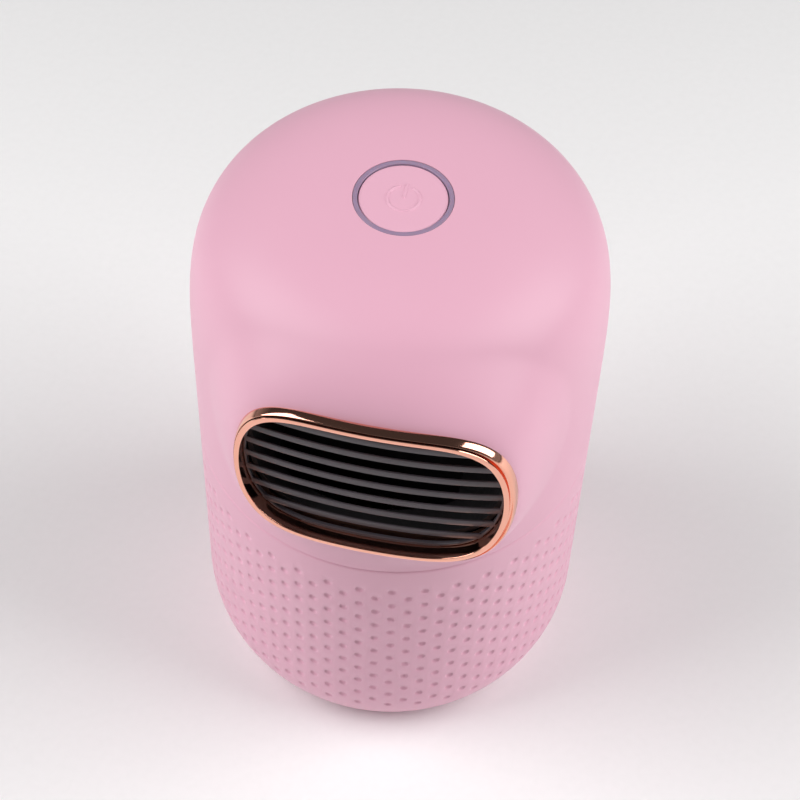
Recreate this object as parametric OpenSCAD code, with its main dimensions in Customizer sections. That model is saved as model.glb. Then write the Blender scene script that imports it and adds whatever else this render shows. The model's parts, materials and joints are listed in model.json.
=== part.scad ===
// Desktop nail dust collector. A fan in the lift-off head draws air and dust in through the grille
// of the mouth, down into the dust cup, up through a pleated cartridge and out at the back.
// Millimetres. The origin is the centre of the base on the table, +Z up, and the mouth faces -Y.

/* [Casing] */
// Outside diameter of the lower casing and the head
body_d = 100; // [99.5:0.1:101]
// Height over everything
body_h = 163.3; // [163:0.1:166]
// Height of the parting line between the lower casing and the head
seam_z = 84.7; // [84.5:0.1:85]
// Gap left at the parting line
seam_gap = 0.4; // [0.3:0.1:0.5]
// Wall thickness of the two casings
wall = 2.2; // [2:0.1:2.4]
// Radius of the turned-in bottom edge of the lower casing
base_round = 33.4; // [33:0.1:34]
// Height of the centre of that radius above the table
base_round_z = 23.6; // [23.4:0.1:23.8]
// Squareness of the dome seen from above its rim
dome_across = 3.69; // [3.4:0.01:4]
// Squareness of the dome seen down its side
dome_down = 7.67; // [7:0.01:8.4]

/* [Mouth] */
// Width of the opening, at the middle of the bright lip
mouth_w = 62.8; // [62:0.2:63.4]
// Height of the opening, at the middle of the bright lip
mouth_h = 45.2; // [44.6:0.2:45.6]
// Height of the mouth's centre above the table
mouth_z = 121; // [120.5:0.1:121.4]
// Distance of the mouth's centre from the axis, to its right seen from the front
mouth_x = 3.7; // [3.4:0.1:4]
// Squareness of the mouth's long sides
mouth_flat = 5.2; // [4.8:0.1:5.6]
// Squareness of the mouth's ends, where 2 is a half round
mouth_round = 2.05; // [2:0.05:2.3]
// Distance of the lip from the axis, at its middle
face_y = 53.4; // [53:0.1:54]
// Radius that the face of the mouth is bowed to
face_r = 156; // [150:1:160]
// Number of slats in the grille
slat_count = 9; // [7:1:9]
// Distance from slat to slat
slat_pitch = 5.33; // [5.2:0.01:5.4]
// Height of one slat
slat_h = 1.6; // [1.4:0.1:2]

/* [Button] */
// Outside radius of the light ring
ring_r = 11.5; // [11:0.1:12]
// Width of the light ring's visible face
ring_w = 1.1; // [1:0.1:1.4]
// How far the power button travels
button_travel = 0.6; // [0.3:0.1:0.6]

/* [Fan and cartridge] */
// Radius over the impeller's blades
impeller_r = 18.5; // [17:0.5:19]
// Number of impeller blades
blade_count = 20; // [12:1:24]
// Number of pleats in the cartridge
pleat_count = 36; // [24:1:40]
// Outside radius of the pleated paper
pleat_r = 20; // [19:0.5:20.5]

/* [Hidden] */
$fn = 96;

shell_pink = [0.90, 0.70, 0.79];
rose_gold = [0.86, 0.60, 0.52];
dark_plastic = [0.16, 0.16, 0.18];
smoke = [0.45, 0.42, 0.46];
steel = [0.72, 0.73, 0.75];
nickel = [0.80, 0.79, 0.74];
board_green = [0.12, 0.35, 0.24];
rubber = [0.12, 0.12, 0.12];
paper = [0.93, 0.92, 0.88];
ring_lilac = [0.60, 0.50, 0.62];
blue_sleeve = [0.20, 0.35, 0.62];
red_lead = [0.75, 0.15, 0.12];

body_r = body_d / 2;
inner_r = body_r - wall;
slip = 0.3;          // gap between pieces of different bodies
eps = 0.05;          // overlap that cutters take past a face
dome_steps = 36;
arc_steps = 10;

// Heights that stack up from the table
pad_h = 1.0;
pad_recess = 0.4;
pad_r = 31.5;
pad_grooves = [12, 19, 26];
pad_groove_w = 1.6;
plate_r = 37;
plate_top = pad_h + 2.4;
shelf_r = 31;
shelf_top = plate_top + 2.2;
casing_top = seam_z - seam_gap / 2;
shell_bottom = seam_z + seam_gap / 2;
bulkhead_t = 2.4;
bulkhead_top = seam_z + 0.5;
bulkhead_bottom = bulkhead_top - bulkhead_t;
seal_t = 1.4;
cup_top = bulkhead_bottom - 0.2 - seal_t;
cup_bottom = shelf_top + 0.2;
cup_wall = 1.6;
cup_gap = 0.6;
spigot_depth = 4.2;
cup_r = inner_r - cup_gap;

// The intake passage down through the bulkhead, in front of the cartridge
passage_w = 44;
passage_front_r = 42.6;
passage_back_y = 26.5;
duct_wall = 1.4;
duct_front_depth = 7;

// The fan and the motor stand on the bulkhead, on the axis
gasket_t = 1.0;
fan_bottom = bulkhead_top + gasket_t;
fan_skin = 1.2;
fan_r = 22;
fan_h = 18;
fan_top = fan_bottom + fan_h;
fan_inlet_r = 13;
outlet_x = [4, 20.5];
outlet_y = 37.5;
ear_r = 3;
fan_ears = [[-22, -16], [22, -16], [-14, 24]];
motor_r = 12.2;
motor_h = 31;
shaft_r = 1.0;
shaft_fit = 0.05;
isolator_h = 6;
motor_screw_r = 8;

// Two cells stand beside the fan
cell_r = 9.1;
cell_h = 50;
cell_x = 33;
cell_y = 12;
cell_z = bulkhead_top + 2.4;
tab_t = 0.4;

// Boards
board_t = 1.4;
board_r = 36;
board_front_y = 22;
board_z = cell_z + cell_h + 2.4;
board_posts = [[-28, -10], [28, -10], [0, 32]];
charge_z = 117;
charge_y = [27, 46];
charge_w = 20;
charge_posts_x = 7.5;
socket_w = 9;
socket_h = 3.2;
socket_depth = 7.4;
button_board_t = 1.2;
button_board_z = body_h - 12.3;
button_board_r = 20;
button_post_r = 17.5;
button_post_angles = [90, 210, 330];

// Light ring and button
button_r = ring_r - ring_w - 0.2;
button_top = body_h - 0.35;
cap_t = 2.4;
symbol_r = 4.1;
symbol_w = 0.75;
symbol_h = 0.25;
symbol_gap = 2.8;        // width of the ring's gap, round the bar
symbol_bar = [0.2, 4.4]; // the bar's ends, from the centre

// Screws: radius of the shank, radius and height of the head
shank_r = 1.1;
head_r = 2.2;
head_h = 1.2;
bulkhead_boss_r = 39.5;
bulkhead_boss_angles = [-38, 52, 128, 218];
bulkhead_screw_l = 10;
base_screw_r = 34.5;
base_screw_angles = [45, 135, 225, 315];
base_screw_l = 4.1;
base_thread = 1.9;
fan_screw_l = 6.6;
motor_screw_l = 5;
board_screw_l = 8;
button_screw_l = 6;
post_r = 2.6;

// Exhaust slots at the back of the head
slot_count = 11;
slot_w = 2.2;
slot_step = 5.4;
slot_z = [92, 111];

// The trim reaches from the lip's middle line so far inwards and outwards. Its rim, and the hood
// that carries it, stand further out on the right, where the hood falls away most.
lip_half = 0.75;
rim_out_x = 1.5;
rim_out_z = 1.6;
rim_shift = 0.6;
trim_skirt = 0.7;
rim_depth = 2.8;
rim_edge = 1.2;
trim_depth = 6.6;
grille_depth = 3.6;
grille_t = 1.0;
grille_rim = 1.2;
hood_shoulder_y = 46;
hood_root_y = 22;
hood_flare = 7.6;

// ---------------------------------------------------------------- shared shapes

// Points of the mouth's outline of half-width a, half-height b: flat above and below, round-ended
function rounded_outline(a, b, steps = 64) =
    [for (i = [0 : steps - 1])
        let (t = 360 * i / steps, c = cos(t), s = sin(t))
        [a * sign(c) * pow(abs(c), 2 / mouth_flat), b * sign(s) * pow(abs(s), 2 / mouth_round)]];

// The dome's section from the parting line to the top, inset by d
function dome_section(d) =
    [for (i = [0 : dome_steps])
        let (t = 90 * i / dome_steps)
        [(body_r - d) * pow(cos(t), 2 / dome_across),
         shell_bottom + (body_h - d - shell_bottom) * pow(sin(t), 2 / dome_down)]];

// The turned-in bottom edge, inset by d, from height z0 up to the wall
function base_section(d, z0) =
    let (rr = base_round - d, cx = body_r - base_round, a0 = acos((base_round_z - z0) / rr))
    [for (i = [0 : arc_steps])
        let (a = a0 + (90 - a0) * i / arc_steps)
        [cx + rr * sin(a), base_round_z - rr * cos(a)]];

// Solid of revolution of a section that starts at height z0
module turned(section, z0) {
    rotate_extrude() polygon(concat([[0, z0]], section, [[0, section[len(section) - 1][1]]]));
}

module tube(r_out, r_in, z0, z1) {
    translate([0, 0, z0]) difference() {
        cylinder(r = r_out, h = z1 - z0);
        translate([0, 0, -eps]) cylinder(r = r_in, h = z1 - z0 + 2 * eps);
    }
}

// A bar of the mouth's outline, grown by g, between two distances in front of the axis
module mouth_bar(g, y0, y1) {
    translate([mouth_x, -y0, mouth_z]) rotate([90, 0, 0]) linear_extrude(y1 - y0)
        polygon(rounded_outline(mouth_w / 2 + g, mouth_h / 2 + g));
}

// The same for the outline of the trim's rim
module rim_bar(g, y0, y1) {
    translate([mouth_x + rim_shift, -y0, mouth_z]) rotate([90, 0, 0]) linear_extrude(y1 - y0)
        polygon(rounded_outline(mouth_w / 2 + rim_out_x + g, mouth_h / 2 + rim_out_z + g));
}

// Everything that lies between two depths behind the bowed face of the mouth
module face_layer(d0, d1) {
    translate([mouth_x, face_r - face_y, mouth_z - mouth_h]) difference() {
        cylinder(r = face_r - d0, h = 2 * mouth_h, $fn = 180);
        translate([0, 0, -eps]) cylinder(r = face_r - d1, h = 2 * mouth_h + 2 * eps, $fn = 180);
    }
}

// Screw with its head's top at z = 0 and its shank pointing down
module screw(length, radius = shank_r) {
    translate([0, 0, -head_h]) difference() {
        cylinder(r = head_r, h = head_h);
        translate([-head_r * 0.6, -0.25, head_h - 0.6]) cube([head_r * 1.2, 0.5, 1]);
        translate([-0.25, -head_r * 0.6, head_h - 0.6]) cube([0.5, head_r * 1.2, 1]);
    }
    translate([0, 0, -length]) cylinder(r = radius, h = length - head_h);
}

module at_angles(angles, r) {
    for (a = angles) rotate(a) translate([r, 0, 0]) children();
}

// ---------------------------------------------------------------- lower casing

module lower_casing() {
    color(shell_pink) difference() {
        turned(concat(base_section(0, pad_h), [[body_r, casing_top]]), pad_h);
        turned(concat(base_section(wall, shelf_top), [[inner_r, casing_top + eps]]), shelf_top);
        translate([0, 0, plate_top - eps]) cylinder(r = shelf_r, h = shelf_top);
        translate([0, 0, pad_h - eps]) cylinder(r = plate_r + 0.2, h = plate_top - pad_h + eps);
        at_angles(base_screw_angles, base_screw_r)
            translate([0, 0, plate_top - eps]) cylinder(r = shank_r, h = base_thread);
    }
}

module base_plate() {
    color(dark_plastic) difference() {
        translate([0, 0, pad_h]) cylinder(r = plate_r, h = plate_top - pad_h);
        translate([0, 0, pad_h - eps]) cylinder(r = pad_r + 0.1, h = pad_recess + eps);
        at_angles(base_screw_angles, base_screw_r) {
            translate([0, 0, pad_h - eps]) cylinder(r = head_r + 0.1, h = head_h + 0.2);
            translate([0, 0, pad_h]) cylinder(r = shank_r + 0.1, h = plate_top);
        }
    }
}

module base_pad() {
    color(rubber) difference() {
        cylinder(r = pad_r, h = pad_h + pad_recess);
        for (r = pad_grooves)
            tube(r + pad_groove_w / 2, r - pad_groove_w / 2, -eps, pad_recess);
    }
}

module base_screws() {
    color(steel) at_angles(base_screw_angles, base_screw_r)
        translate([0, 0, pad_h + 0.1]) mirror([0, 0, 1]) screw(base_screw_l);
}

// ---------------------------------------------------------------- dust cup

module dust_cup() {
    color(smoke) difference() {
        turned(concat(base_section(wall + cup_gap, cup_bottom), [[cup_r, cup_top]]), cup_bottom);
        turned(concat(base_section(wall + cup_gap + cup_wall, cup_bottom + cup_wall),
                      [[cup_r - cup_wall, cup_top + eps]]), cup_bottom + cup_wall);
    }
}

module cup_seal() {
    color(rubber) tube(cup_r, cup_r - cup_wall, cup_top, cup_top + seal_t);
}

// ---------------------------------------------------------------- filter cartridge

cartridge_top = bulkhead_bottom - 0.2;
cartridge_bottom = 38;
core_r = 12.5;
cap_h = 3;

module filter_frame() {
    color(dark_plastic) tube(pleat_r + 2.5, core_r + 0.1, cartridge_top - seal_t - cap_h,
                             cartridge_top - seal_t);
}

module filter_seal() {
    color(rubber) tube(pleat_r + 1.5, core_r + 2, cartridge_top - seal_t, cartridge_top);
}

module filter_core() {
    color(dark_plastic) difference() {
        tube(core_r, core_r - 1, cartridge_bottom + cap_h, cartridge_top - seal_t);
        for (a = [0 : 30 : 150], z = [0 : 2])
            rotate(a) translate([-1.5, -core_r - 1, cartridge_bottom + cap_h + 3 + 11 * z])
                cube([3, 2 * core_r + 2, 8]);
    }
}

// Folded paper: a zigzag ring between the core and the cartridge's outside
module filter_media() {
    inner = core_r + 0.6;
    fold = 0.45;
    steps = 2 * pleat_count;
    outside = [for (i = [0 : steps - 1])
        let (a = 360 * i / steps, r = i % 2 == 0 ? pleat_r : inner + fold) [r * cos(a), r * sin(a)]];
    inside = [for (i = [0 : steps - 1])
        let (a = 360 * i / steps, r = i % 2 == 0 ? pleat_r - 2 * fold - 0.4 : inner)
        [r * cos(a), r * sin(a)]];
    color(paper) translate([0, 0, cartridge_bottom + cap_h])
        linear_extrude(cartridge_top - seal_t - 2 * cap_h - cartridge_bottom) difference() {
            polygon(outside);
            polygon(inside);
        }
}

module filter_end_cap() {
    color(dark_plastic) difference() {
        translate([0, 0, cartridge_bottom]) cylinder(r = pleat_r + 1.5, h = cap_h);
        for (a = [0, 90]) rotate(a)
            translate([-9, -1, cartridge_bottom - eps]) cube([18, 2, 1]);
    }
}

// ---------------------------------------------------------------- head: shell and mouth

// The hood swells out of the dome's front to the face of the mouth
module hood(inset) {
    intersection() {
        rim_bar(-inset, hood_root_y, face_y);
        face_layer(rim_depth, face_r / 2);
    }
    hull() {
        rim_bar(-inset, hood_shoulder_y - inset - 0.5, hood_shoulder_y - inset);
        rim_bar(hood_flare - inset, hood_root_y, hood_root_y + 0.5);
    }
}

module dome(inset) {
    turned(dome_section(inset), inset == 0 ? shell_bottom : shell_bottom - 1);
}

module exhaust_slots() {
    mid = (slot_count - 1) / 2;
    for (i = [0 : slot_count - 1]) rotate((i - mid) * slot_step) {
        translate([-slot_w / 2, inner_r - 3, slot_z[0]])
            cube([slot_w, 8, slot_z[1] - slot_z[0]]);
        for (z = slot_z) translate([0, inner_r + 5, z]) rotate([90, 0, 0])
            cylinder(r = slot_w / 2, h = 8);
    }
}

module socket_opening() {
    translate([0, body_r + 1, charge_z + board_t + socket_h / 2]) rotate([90, 0, 0])
        for (x = [-1, 1]) translate([x * (socket_w - socket_h) / 2, 0, 0])
            cylinder(r = socket_h / 2 + 0.2, h = 5);
    translate([-(socket_w - socket_h) / 2, body_r - 4, charge_z + board_t - 0.2])
        cube([socket_w - socket_h, 5, socket_h + 0.4]);
}

// Ribs and posts moulded inside the dome
module shell_posts() {
    at_angles(bulkhead_boss_angles, bulkhead_boss_r) {
        translate([0, 0, bulkhead_top]) cylinder(r = 3.2, h = 11);
        translate([0, -0.8, bulkhead_top]) cube([10, 1.6, 11]);
    }
    for (p = board_posts) translate([p[0], p[1], board_z + board_t]) cylinder(r = post_r, h = 20);
    at_angles(button_post_angles, button_post_r)
        translate([0, 0, button_board_z + button_board_t]) cylinder(r = 2.2, h = 11);
    for (x = [-1, 1]) translate([x * charge_posts_x - 1.5, charge_y[1] - 3, charge_z - 3])
        cube([3, 6, 3]);
}

module upper_shell() {
    color(shell_pink) difference() {
        union() {
            difference() {
                union() {
                    dome(0);
                    hood(0);
                }
                difference() {
                    dome(wall);
                    translate([-60, -60, shell_bottom - 2]) cube([120, 120, 2 - eps]);
                }
                translate([0, 0, shell_bottom - 1]) cylinder(r = inner_r, h = 2);
                hood(wall - 0.1);
            }
            intersection() {
                shell_posts();
                dome(wall / 2);
            }
        }
        mouth_bar(trim_skirt + 0.1, hood_root_y, face_y + 1);
        translate([0, 0, body_h - 8]) cylinder(r = ring_r + 0.1, h = 10);
        exhaust_slots();
        socket_opening();
        at_angles(bulkhead_boss_angles, bulkhead_boss_r)
            translate([0, 0, bulkhead_top - eps]) cylinder(r = shank_r, h = 9);
        for (p = board_posts)
            translate([p[0], p[1], board_z + board_t - eps]) cylinder(r = shank_r, h = 8);
        at_angles(button_post_angles, button_post_r)
            translate([0, 0, button_board_z + button_board_t - eps]) cylinder(r = shank_r, h = 6);
    }
}

module mouth_trim() {
    color(rose_gold) difference() {
        union() {
            intersection() {
                mouth_bar(lip_half, hood_root_y, face_y + 1);
                face_layer(0, rim_depth);
            }
            intersection() {
                rim_bar(0, hood_root_y, face_y + 1);
                face_layer(rim_edge, rim_depth);
            }
            intersection() {
                mouth_bar(trim_skirt, hood_root_y, face_y + 1);
                face_layer(rim_depth - eps, trim_depth);
            }
        }
        mouth_bar(-lip_half, hood_root_y - 1, face_y + 2);
    }
}

module grille() {
    half = (slat_count - 1) / 2;
    color(dark_plastic) intersection() {
        face_layer(grille_depth, grille_depth + grille_t);
        mouth_bar(-lip_half - 0.1, hood_root_y, face_y);
        union() {
            difference() {
                mouth_bar(-lip_half, hood_root_y, face_y);
                mouth_bar(-lip_half - grille_rim, hood_root_y - 1, face_y + 1);
            }
            for (i = [0 : slat_count - 1])
                translate([mouth_x - mouth_w / 2, -face_y,
                           mouth_z + (i - half) * slat_pitch - slat_h / 2])
                    cube([mouth_w, face_y - hood_root_y, slat_h]);
        }
    }
}

// Scoop behind the grille: turns the air down through the bulkhead
module duct_space(grow) {
    intersection() {
        mouth_bar(-lip_half - duct_wall - 0.1 + grow, passage_back_y - grow, face_y);
        face_layer(duct_front_depth - (grow == 0 ? 1 : 0), face_r / 2);
    }
    intersection() {
        translate([-passage_w / 2 - grow, -passage_front_r - grow, bulkhead_top - (grow == 0 ? 1 : 0)])
            cube([passage_w + 2 * grow, passage_front_r - passage_back_y + 2 * grow,
                  mouth_z - 8 - bulkhead_top]);
        cylinder(r = passage_front_r + grow, h = mouth_z);
    }
}

module intake_duct() {
    color(dark_plastic) difference() {
        duct_space(duct_wall);
        duct_space(0);
    }
}

module bulkhead() {
    color(dark_plastic) difference() {
        union() {
            translate([0, 0, bulkhead_bottom]) cylinder(r = inner_r - slip, h = bulkhead_t);
            tube(cup_r - cup_wall - 0.4, cup_r - cup_wall - 2.2, bulkhead_bottom - spigot_depth,
                 bulkhead_bottom + eps);
            for (p = fan_ears) translate([p[0], p[1], bulkhead_top - eps])
                cylinder(r = ear_r, h = gasket_t + eps);
        }
        translate([0, 0, bulkhead_bottom - 1]) cylinder(r = 15, h = 5);
        intersection() {
            translate([-passage_w / 2, -passage_front_r, bulkhead_bottom - 1])
                cube([passage_w, passage_front_r - passage_back_y, 5]);
            cylinder(r = passage_front_r, h = bulkhead_top + 5);
        }
        at_angles(bulkhead_boss_angles, bulkhead_boss_r) {
            translate([0, 0, bulkhead_bottom - eps]) cylinder(r = head_r + 0.1, h = head_h + eps);
            translate([0, 0, bulkhead_bottom]) cylinder(r = shank_r + 0.1, h = 5);
        }
        for (p = fan_ears) translate([p[0], p[1], bulkhead_bottom + 0.8])
            cylinder(r = shank_r, h = 5);
    }
}

module bulkhead_screws() {
    color(steel) at_angles(bulkhead_boss_angles, bulkhead_boss_r)
        translate([0, 0, bulkhead_bottom]) mirror([0, 0, 1]) screw(bulkhead_screw_l);
}

// ---------------------------------------------------------------- fan and motor

module fan_outline(inset) {
    circle(r = fan_r - inset);
    translate([outlet_x[0] + inset, 0])
        square([outlet_x[1] - outlet_x[0] - 2 * inset, outlet_y + (inset == 0 ? 0 : 1)]);
}

module fan_gasket() {
    color(rubber) tube(18, 15, bulkhead_top, fan_bottom);
}

module fan_cover() {
    color(dark_plastic) translate([0, 0, fan_bottom]) linear_extrude(fan_skin) difference() {
        fan_outline(0);
        circle(r = fan_inlet_r);
    }
}

module fan_housing() {
    color(dark_plastic) difference() {
        union() {
            translate([0, 0, fan_bottom + fan_skin]) linear_extrude(fan_h - fan_skin) fan_outline(0);
            for (p = fan_ears) translate([p[0], p[1], fan_bottom]) cylinder(r = ear_r, h = 3);
            for (p = fan_ears) hull() {
                translate([p[0], p[1], fan_bottom + fan_skin]) cylinder(r = ear_r, h = 1.8, $fn = 32);
                translate([p[0] * 0.75, p[1] * 0.75, fan_bottom + fan_skin])
                    cylinder(r = ear_r, h = 1.8, $fn = 32);
            }
            tube(motor_r + 3.2, motor_r + 2, fan_top - eps, fan_top + isolator_h);
        }
        translate([0, 0, fan_bottom]) linear_extrude(fan_h - fan_skin) fan_outline(fan_skin);
        translate([0, 0, fan_top - fan_skin - eps]) cylinder(r = 3.4, h = 2);
        for (p = fan_ears) translate([p[0], p[1], fan_bottom - eps])
            cylinder(r = shank_r + 0.1, h = 5);
        at_angles([0, 180], motor_screw_r)
            translate([0, 0, fan_top - fan_skin - eps]) cylinder(r = shank_r, h = 3);
    }
}

module fan_screws() {
    color(steel) for (p = fan_ears) translate([p[0], p[1], fan_bottom + 3 + head_h])
        screw(fan_screw_l);
}

module motor() {
    color(steel) difference() {
        union() {
            translate([0, 0, fan_top]) cylinder(r = motor_r, h = motor_h);
            translate([0, 0, fan_top - fan_skin]) cylinder(r = 3.2, h = fan_skin + eps);
            translate([0, 0, fan_top + motor_h - eps]) cylinder(r = 4.5, h = 1);
        }
        translate([0, 0, fan_top - 2]) cylinder(r = shaft_r + shaft_fit, h = 8);
        at_angles([0, 180], motor_screw_r) translate([0, 0, fan_top - eps])
            cylinder(r = shank_r, h = 3.5);
    }
}

module motor_isolator() {
    color(rubber) tube(motor_r + 1.95, motor_r + 0.05, fan_top, fan_top + isolator_h);
}

module motor_screws() {
    color(steel) at_angles([0, 180], motor_screw_r)
        translate([0, 0, fan_top - fan_skin - head_h]) mirror([0, 0, 1]) screw(motor_screw_l);
}

module motor_shaft() {
    color(steel) translate([0, 0, fan_bottom + 3])
        cylinder(r = shaft_r, h = fan_top - fan_bottom + 2.5);
}

module impeller() {
    floor_z = fan_bottom + 3;
    top_z = fan_top - fan_skin - head_h - 1;
    color(dark_plastic) difference() {
        union() {
            translate([0, 0, top_z - 1.2]) cylinder(r = impeller_r, h = 1.2);
            tube(impeller_r, fan_inlet_r + 0.5, floor_z, floor_z + 1);
            translate([0, 0, floor_z + 3]) cylinder(r = 4, h = top_z - floor_z - 3);
            for (i = [0 : blade_count - 1]) rotate(360 * i / blade_count)
                translate([12.2, 0, floor_z + 0.5]) rotate(35)
                    cube([impeller_r - 12.6, 0.8, top_z - floor_z - 1]);
        }
        translate([0, 0, floor_z - 1]) cylinder(r = shaft_r, h = fan_h);
    }
}

// ---------------------------------------------------------------- cells and boards

module cell(side) {
    color(blue_sleeve) translate([side * cell_x, cell_y, cell_z]) {
        cylinder(r = cell_r, h = cell_h - 0.6);
        cylinder(r = 3, h = cell_h);
    }
}
module cell_left() { cell(-1); }
module cell_right() { cell(1); }

module cell_cradle(side) {
    color(dark_plastic) translate([side * cell_x, cell_y, 0]) difference() {
        translate([0, 0, bulkhead_top]) cylinder(r = cell_r + 1.4, h = 10);
        translate([0, 0, bulkhead_top + 1.6]) cylinder(r = cell_r + 0.15, h = 10);
    }
}
module cell_cradle_left() { cell_cradle(-1); }
module cell_cradle_right() { cell_cradle(1); }

module cell_tabs() {
    color(nickel) for (side = [-1, 1], z = [cell_z - tab_t - 0.05, cell_z + cell_h + 0.05])
        translate([side * cell_x - 3, cell_y - 6, z]) cube([6, 12, tab_t]);
}

module leads(points, z0, z1) {
    color(red_lead) for (p = points) translate([p[0], p[1], z0]) cylinder(r = 0.6, h = z1 - z0);
}

module motor_leads() {
    leads([[-7, 4], [7, 4]], fan_top + motor_h, board_z);
}

module cell_leads() {
    leads([[-cell_x + 3.5, cell_y - 4], [cell_x - 3.5, cell_y - 4]],
          cell_z + cell_h + tab_t + 0.05, board_z);
}

module charge_leads() {
    leads([[-5, charge_y[0] + 2], [5, charge_y[0] + 2]], charge_z + board_t, board_z);
}

module board_link() {
    leads([for (i = [-2 : 2]) [i * 1.6, 14]], board_z + board_t, button_board_z);
}

module main_board() {
    color(board_green) difference() {
        union() {
            translate([0, 0, board_z]) cylinder(r = board_r, h = board_t);
            translate([-14, -16, board_z + board_t - eps]) cube([9, 9, 2]);
            translate([6, -15, board_z + board_t - eps]) cube([7, 7, 4]);
            translate([-20, 6, board_z + board_t - eps]) cube([6, 5, 1.6]);
            translate([15, 8, board_z + board_t - eps]) cylinder(r = 3.2, h = 6);
        }
        translate([-60, -60 - board_front_y, board_z - 1]) cube([120, 60, 10]);
        for (p = board_posts) translate([p[0], p[1], board_z - 1])
            cylinder(r = shank_r + 0.1, h = 4);
    }
}

module board_screws() {
    color(steel) for (p = board_posts) translate([p[0], p[1], board_z - head_h])
        mirror([0, 0, 1]) screw(board_screw_l);
}

module charge_board() {
    color(board_green) translate([-charge_w / 2, charge_y[0], charge_z])
        cube([charge_w, charge_y[1] - charge_y[0], board_t]);
}

module charging_socket() {
    y_out = body_r - 0.6;
    mid_z = charge_z + board_t + socket_h / 2;
    color(steel) translate([0, y_out, mid_z]) rotate([90, 0, 0]) difference() {
        socket_bar(0, socket_depth);
        translate([0, 0, -eps]) socket_bar(0.35, socket_depth - 1);
    }
    color(dark_plastic) translate([-3.2, y_out - socket_depth + 0.5, mid_z - 0.3])
        cube([6.4, socket_depth - 2, 0.6]);
}

module socket_bar(inset, depth) {
    linear_extrude(depth) {
        for (x = [-1, 1]) translate([x * (socket_w - socket_h) / 2, 0])
            circle(r = socket_h / 2 - inset);
        translate([-(socket_w - socket_h) / 2, -socket_h / 2 + inset])
            square([socket_w - socket_h, socket_h - 2 * inset]);
    }
}

module button_board() {
    color(board_green) difference() {
        translate([0, 0, button_board_z]) cylinder(r = button_board_r, h = button_board_t);
        at_angles(button_post_angles, button_post_r)
            translate([0, 0, button_board_z - 1]) cylinder(r = shank_r + 0.1, h = 4);
    }
}

module button_board_screws() {
    color(steel) at_angles(button_post_angles, button_post_r)
        translate([0, 0, button_board_z - head_h]) mirror([0, 0, 1]) screw(button_screw_l);
}

module tact_switch() {
    z0 = button_board_z + button_board_t;
    color(dark_plastic) {
        translate([-3, -3, z0]) cube([6, 6, 2.4]);
        translate([0, 0, z0]) cylinder(r = 1.7, h = 3);
    }
}

module leds() {
    color(nickel) at_angles([0, 90, 180, 270], ring_r - ring_w / 2)
        translate([-0.8, -1.6, button_board_z + button_board_t]) cube([1.6, 3.2, 1]);
}

// ---------------------------------------------------------------- light ring and button

module light_ring() {
    color(ring_lilac) {
        tube(ring_r, ring_r - ring_w, button_board_z + button_board_t + 1.4, body_h - 0.1);
        tube(14, ring_r - eps, body_h - 4.4, body_h - 3);
    }
}

module power_button() {
    stem_bottom = button_board_z + button_board_t + 3 + button_travel + 0.1;
    color(shell_pink) {
        translate([0, 0, button_top - cap_t]) cylinder(r = button_r, h = cap_t);
        tube(button_r, button_r - 1.2, button_top - cap_t - 3, button_top - cap_t + eps);
        translate([0, 0, stem_bottom]) cylinder(r = 1.8, h = button_top - cap_t - stem_bottom + eps);
        translate([0, 0, button_top - eps]) {
            difference() {
                tube(symbol_r, symbol_r - symbol_w, 0, symbol_h + eps);
                translate([-symbol_gap / 2, 1, -1]) cube([symbol_gap, 5, 3]);
            }
            translate([-symbol_w / 2, symbol_bar[0], 0])
                cube([symbol_w, symbol_bar[1] - symbol_bar[0], symbol_h + eps]);
        }
    }
}

lower_casing();
base_plate();
base_pad();
base_screws();
dust_cup();
cup_seal();
filter_frame();
filter_core();
filter_media();
filter_end_cap();
filter_seal();
upper_shell();
bulkhead();
bulkhead_screws();
mouth_trim();
grille();
intake_duct();
fan_gasket();
fan_cover();
fan_housing();
fan_screws();
motor();
motor_isolator();
motor_screws();
motor_leads();
cell_left();
cell_right();
cell_cradle_left();
cell_cradle_right();
cell_tabs();
cell_leads();
main_board();
board_screws();
charge_board();
charging_socket();
charge_leads();
button_board();
button_board_screws();
board_link();
tact_switch();
leds();
light_ring();
impeller();
motor_shaft();
power_button();
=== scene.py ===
import json
import math
import bmesh
import bpy
import numpy as np
from mathutils import Matrix, Vector


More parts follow.
